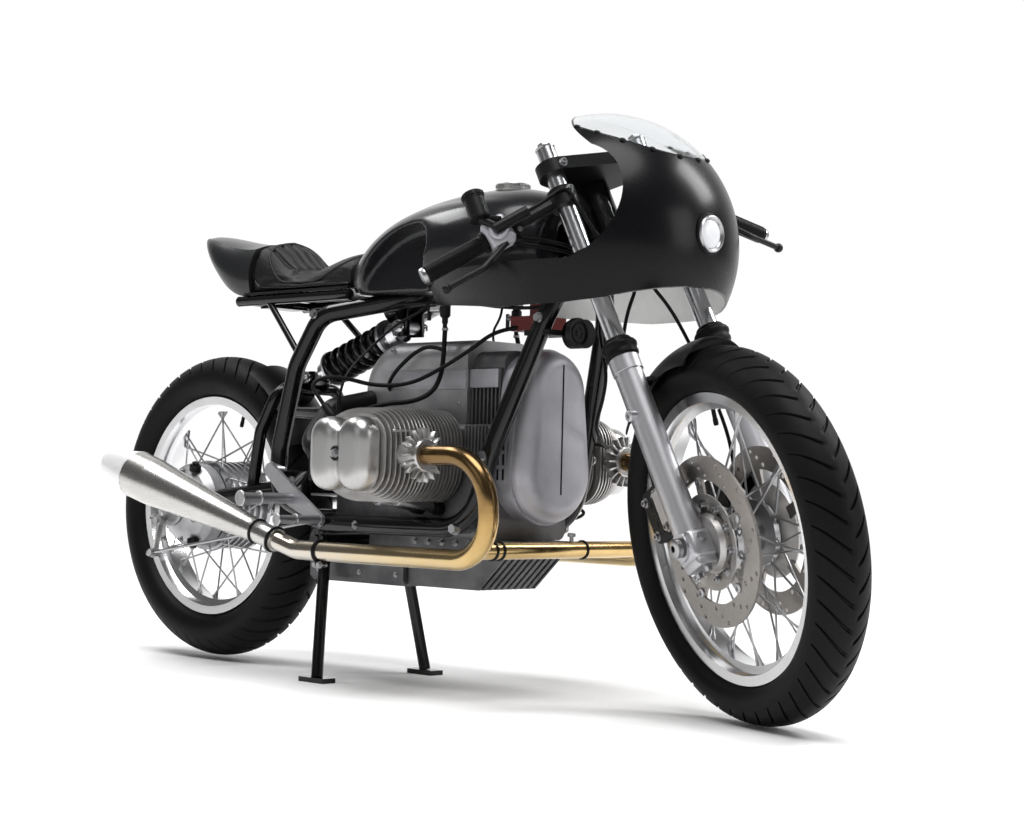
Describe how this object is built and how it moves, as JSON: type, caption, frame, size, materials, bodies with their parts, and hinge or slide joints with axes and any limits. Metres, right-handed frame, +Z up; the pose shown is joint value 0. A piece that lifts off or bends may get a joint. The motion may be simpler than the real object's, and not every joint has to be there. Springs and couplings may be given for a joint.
{
  "type": "motorcycle",
  "caption": "Cafe racer motorcycle with a finned flat twin engine, half fairing with clear screen, low clip-on bars, wire wheels and megaphone silencers, parked on a centre stand.",
  "frame": {"origin": "on the floor under the middle of the machine's box", "axes": "+X forward, +Y to the rider's left, +Z up"},
  "size_m": [2.1094, 0.7206, 1.1],
  "materials": {
    "black_frame": "gloss",
    "charcoal_paint": "satin",
    "gunmetal_paint": "satin",
    "cast_alloy": "cast",
    "satin_alloy": "satin",
    "brushed_alloy": "brushed",
    "stainless": "brushed",
    "tinted_steel": "heat tinted",
    "chrome": "polished",
    "wheel_alloy": "polished",
    "wheel_steel": "polished",
    "disc_steel": "ground",
    "black_alloy": "satin",
    "tyre": "rubber",
    "rubber": "rubber",
    "carb_alloy": "cast",
    "leather": "stitched",
    "screen": "clear",
    "lens": "clear",
    "red_plastic": "gloss"
  },
  "bodies": {
    "chassis": {"frame": "black_frame", "subframe": "black_frame", "swingarm": "black_frame", "final_drive": "cast_alloy", "rear_axle": "satin_alloy", "shock": "satin_alloy", "shock_spring": "black_alloy", "rear_mudguard": "black_frame", "footrests": "satin_alloy", "crankcase": "cast_alloy", "front_cover": "satin_alloy", "cylinders": "cast_alloy", "valve_covers": "brushed_alloy", "exhaust_nuts": "satin_alloy", "exhaust_headers": "tinted_steel", "silencers": "stainless", "sump": "cast_alloy", "gearbox": "cast_alloy", "belly_tray": "cast_alloy", "airbox": "cast_alloy", "carburettors": "carb_alloy", "fairing": "charcoal_paint", "windscreen": "screen", "headlamp": "chrome", "headlamp_lens": "lens", "fairing_stay": "black_frame", "seat_pad": "leather", "tail_cowl": "charcoal_paint", "ignition_coil": "red_plastic", "tank": "gunmetal_paint", "tank_cap": "satin_alloy", "horn": "black_alloy"},
    "fork": {"fork_tubes": "chrome", "fork_sliders": "satin_alloy", "dust_boots": "rubber", "top_yoke": "black_alloy", "lower_yoke": "black_alloy", "clip_ons": "black_alloy", "grips": "rubber", "brake_control": "black_alloy", "clutch_control": "black_alloy", "calipers": "black_alloy", "front_axle": "wheel_steel", "front_mudguard": "charcoal_paint"},
    "front_wheel": {"front_tyre": "tyre", "front_rim": "wheel_alloy", "front_hub": "wheel_steel", "front_discs": "disc_steel"},
    "rear_wheel": {"rear_tyre": "tyre", "rear_rim": "wheel_alloy", "rear_hub": "wheel_steel"},
    "stand": {"centre_stand": "black_frame"}
  },
  "joints": [
    {"name": "steering", "type": "hinge", "parent": "chassis", "child": "fork", "pos_m": [0.39168, 0, 0.88942], "axis": [-0.4571, 0, 0.8894], "range_deg": [0, 45]},
    {"name": "front_wheel_spin", "type": "hinge", "parent": "fork", "child": "front_wheel", "pos_m": [0.73996, -0.0222, 0.32898], "axis": [0.3404, 0.9239, 0.1749], "continuous": true},
    {"name": "rear_wheel_spin", "type": "hinge", "parent": "chassis", "child": "rear_wheel", "pos_m": [-0.72112, 0, 0.342], "axis": [0, 1, 0], "continuous": true},
    {"name": "stand_fold", "type": "hinge", "parent": "chassis", "child": "stand", "pos_m": [-0.25112, 0, 0.284], "axis": [0, 1, 0], "range_deg": [0, 75]}
  ]
}
